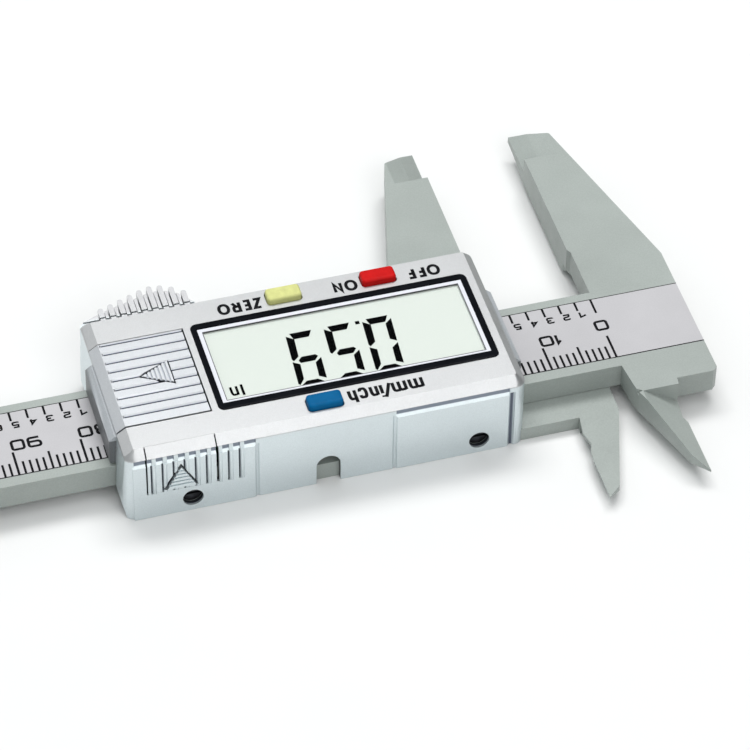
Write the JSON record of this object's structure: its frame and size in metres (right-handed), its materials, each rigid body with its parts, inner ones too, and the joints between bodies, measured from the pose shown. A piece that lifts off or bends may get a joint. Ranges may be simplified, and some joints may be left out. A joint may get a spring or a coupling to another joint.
{
  "type": "digital caliper",
  "caption": "Digital caliper with printed plastic beam, outside and inside jaws, sliding head with display, coloured buttons, battery door and depth rod.",
  "frame": {"origin": "under the middle of the bounding box, on the plane of the reading head's back, with the jaws open 15.7 mm", "axes": "+X along the beam from the jaws to the free end, +Y towards the small inside jaws, +Z out of the display face"},
  "size_m": [0.2506, 0.0766, 0.0142],
  "materials": {
    "jaw_plastic": "satin moulded greenish light grey plastic",
    "label_silver": "satin silver printed film",
    "stator": "green glass-epoxy board",
    "steel": "brushed",
    "steel_dark": "blackened",
    "shell_silver": "satin silver lacquer on moulded plastic",
    "bezel_black": "glossy",
    "window_clear": "clear polished plastic",
    "lcd": "grey-green liquid crystal cell",
    "white_plastic": "moulded",
    "elastomer": "soft",
    "pcb": "solder mask",
    "copper": "gold-plated copper",
    "epoxy_black": "cured resin",
    "can_metal": "polished",
    "ceramic_tan": "matt",
    "red_plastic": "satin",
    "yellow_plastic": "satin",
    "blue_plastic": "satin",
    "brass": "rolled",
    "rear_film": "satin film"
  },
  "bodies": {
    "beam": {"beam": "jaw_plastic", "scale_label": "label_silver", "stator_strip": "stator", "end_stop": "steel", "stop_screws": "steel"},
    "head": {"slider": "jaw_plastic", "gib_strip": "brass", "gib_screws": "steel_dark", "front_cover": "shell_silver", "display_bezel": "bezel_black", "display_window": "window_clear", "lcd_glass": "lcd", "lcd_holder": "white_plastic", "zebra_strip": "elastomer", "main_pcb": "pcb", "sensor_pads": "copper", "chip_blob": "epoxy_black", "crystal_can": "can_metal", "capacitors": "ceramic_tan", "switch_domes": "can_metal", "button_cell": "can_metal", "battery_contacts": "brass", "port_contacts": "copper", "case_screws": "steel", "depth_rod": "steel", "rod_screw": "steel", "rear_label": "rear_film"},
    "battery_door": {"battery_door": "shell_silver"},
    "port_door": {"port_door": "shell_silver"},
    "power_button": {"button_red": "red_plastic"},
    "zero_button": {"button_yellow": "yellow_plastic"},
    "unit_button": {"button_blue": "blue_plastic"}
  },
  "joints": [
    {"name": "head_slide", "type": "slide", "parent": "beam", "child": "head", "axis": [1, 0, 0], "range_m": [-0.0157, 0.137]},
    {"name": "battery_door_slide", "type": "slide", "parent": "head", "child": "battery_door", "axis": [1, 0, 0], "range_m": [0, 0.0095]},
    {"name": "port_door_slide", "type": "slide", "parent": "head", "child": "port_door", "axis": [0, 0, 1], "range_m": [0, 0.0044]},
    {"name": "power_press", "type": "slide", "parent": "head", "child": "power_button", "axis": [0, 0, -1], "range_m": [0, 0.0005], "stiffness_N_per_m": 400, "springref_m": -0.0002},
    {"name": "zero_press", "type": "slide", "parent": "head", "child": "zero_button", "axis": [0, 0, -1], "range_m": [0, 0.0005], "stiffness_N_per_m": 400, "springref_m": -0.0002},
    {"name": "unit_press", "type": "slide", "parent": "head", "child": "unit_button", "axis": [0, 0, -1], "range_m": [0, 0.0005], "stiffness_N_per_m": 400, "springref_m": -0.0002}
  ]
}
